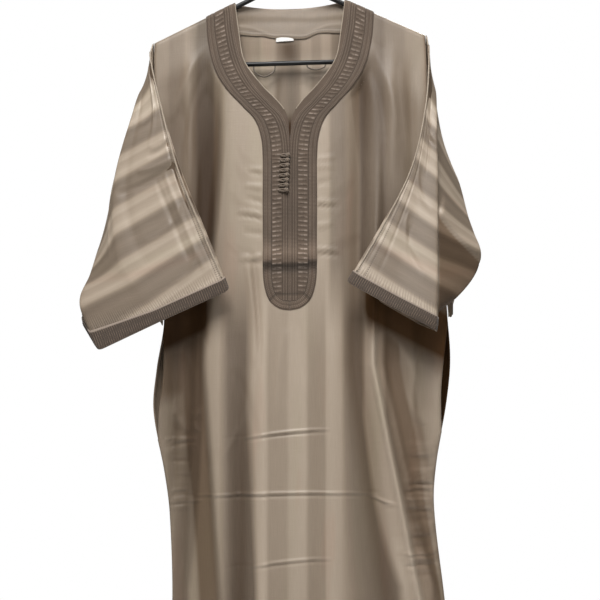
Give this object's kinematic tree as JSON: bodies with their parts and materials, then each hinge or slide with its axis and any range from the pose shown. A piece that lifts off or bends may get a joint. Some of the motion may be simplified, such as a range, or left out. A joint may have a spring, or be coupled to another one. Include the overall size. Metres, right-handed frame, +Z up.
{
  "type": "gandoura on a hanger",
  "caption": "Ankle-length robe of satin-striped cloth with short wide sleeves and a braid-trimmed neck and placket, hanging open and empty on a tubular hanger.",
  "frame": {"origin": "top of the inside of the hanger's hook, where a rail carries it", "axes": "+Z up, -Y out of the robe's front, +X towards the wearer's left"},
  "size_m": [0.6291, 0.1596, 1.5303],
  "materials": {
    "cloth": "satin",
    "braid": "matte",
    "cuff": "matte",
    "facing": "satin",
    "label": "matte",
    "knot": "matte",
    "hanger": "satin",
    "strap_loop": "gloss"
  },
  "bodies": {
    "root": {"front_panel": "cloth", "back_panel": "cloth", "sleeve_right": "cloth", "sleeve_left": "cloth", "cuff_trim_right": "cuff", "cuff_trim_left": "cuff", "neck_trim_right": "braid", "neck_trim_left": "braid", "neck_trim_back": "braid", "neck_facing": "facing", "neck_label": "label", "knot_button_1": "knot", "knot_button_2": "knot", "knot_button_3": "knot", "knot_button_4": "knot", "knot_button_5": "knot", "knot_button_6": "knot", "knot_button_7": "knot", "knot_button_8": "knot", "knot_loop_1": "knot", "knot_loop_2": "knot", "knot_loop_3": "knot", "knot_loop_4": "knot", "knot_loop_5": "knot", "knot_loop_6": "knot", "knot_loop_7": "knot", "knot_loop_8": "knot", "hanger": "hanger", "strap_loop_right": "strap_loop", "strap_loop_left": "strap_loop"}
  },
  "joints": []
}
